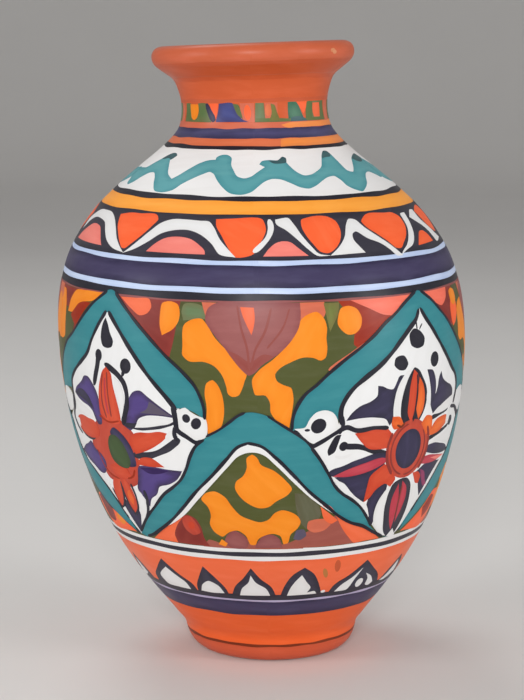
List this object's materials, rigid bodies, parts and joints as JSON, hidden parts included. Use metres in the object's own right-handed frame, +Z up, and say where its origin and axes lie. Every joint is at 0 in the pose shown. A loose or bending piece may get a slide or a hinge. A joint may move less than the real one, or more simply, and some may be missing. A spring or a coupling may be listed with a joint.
{
  "type": "talavera pottery vase",
  "caption": "Round-bellied thrown earthenware vase with a turned foot, narrow neck and rolled rim, glazed and hand painted, for flowers or display.",
  "frame": {"origin": "on the surface the foot stands on, under the middle of the belly (bottom centre of the bounding box)", "axes": "+Z up, +X to the right as seen facing the painted front, +Y away from the viewer; the pot leans about 1.8 degrees to -X"},
  "size_m": [0.2033, 0.2032, 0.306],
  "materials": {
    "orange_glaze": "satin hand-brushed orange glaze",
    "bare_clay": "matt fired terracotta",
    "white_glaze": "satin tin-white glaze",
    "teal_glaze": "satin teal glaze line, brushed over the white ground",
    "cobalt_glaze": "satin dark cobalt-blue glaze band",
    "black_line": "satin brown-black outline, brushed",
    "pale_blue_glaze": "satin pale blue glaze line",
    "amber_glaze": "satin amber glaze patch",
    "olive_glaze": "satin olive-green glaze patch",
    "maroon_glaze": "satin maroon glaze patch",
    "coral_glaze": "satin coral-pink glaze patch",
    "vermilion_glaze": "satin red-orange glaze patch",
    "purple_glaze": "satin purple glaze petal"
  },
  "bodies": {
    "root": {"foot_ring": "orange_glaze", "floor_disc": "bare_clay", "lower_body": "orange_glaze", "shoulder": "white_glaze", "neck_collar": "orange_glaze", "rolled_rim": "orange_glaze"}
  },
  "joints": []
}
